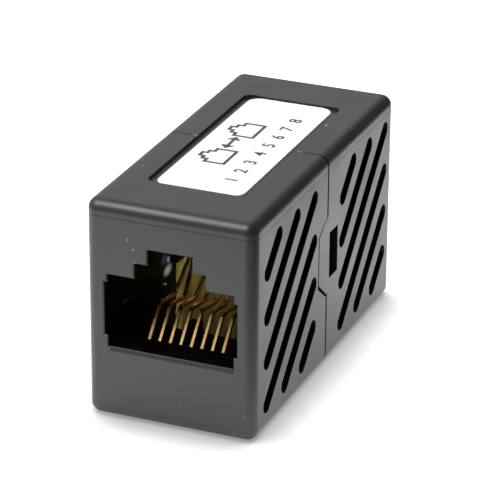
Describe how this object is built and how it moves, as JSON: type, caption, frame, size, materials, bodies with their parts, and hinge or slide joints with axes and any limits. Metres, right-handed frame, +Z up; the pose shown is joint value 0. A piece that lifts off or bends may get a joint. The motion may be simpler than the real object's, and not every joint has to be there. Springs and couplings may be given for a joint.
{
  "type": "rj45 inline coupler",
  "caption": "Black inline coupler with a modular socket at each end, diagonal side vents and a label in a recess on top.",
  "frame": {"origin": "middle of the footprint, on the surface that it rests on", "axes": "+X across the width, +Y from the front socket to the rear socket, +Z up, towards the label and the latch keyways"},
  "size_m": [0.016, 0.0348, 0.0208],
  "materials": {
    "housing_plastic": "satin black moulded plastic",
    "board": "glass-filled laminate with green-brown solder mask",
    "label_stock": "matt white sticker",
    "solder": "bright solder",
    "contact_gold": "gold-plated phosphor bronze wire"
  },
  "bodies": {
    "root": {"front_shell": "housing_plastic", "rear_shell": "housing_plastic", "circuit_board": "board", "label": "label_stock", "solder_front": "solder", "solder_rear": "solder", "contact_front_1": "contact_gold", "contact_front_2": "contact_gold", "contact_front_3": "contact_gold", "contact_front_4": "contact_gold", "contact_front_5": "contact_gold", "contact_front_6": "contact_gold", "contact_front_7": "contact_gold", "contact_front_8": "contact_gold", "contact_rear_1": "contact_gold", "contact_rear_2": "contact_gold", "contact_rear_3": "contact_gold", "contact_rear_4": "contact_gold", "contact_rear_5": "contact_gold", "contact_rear_6": "contact_gold", "contact_rear_7": "contact_gold", "contact_rear_8": "contact_gold"}
  },
  "joints": []
}
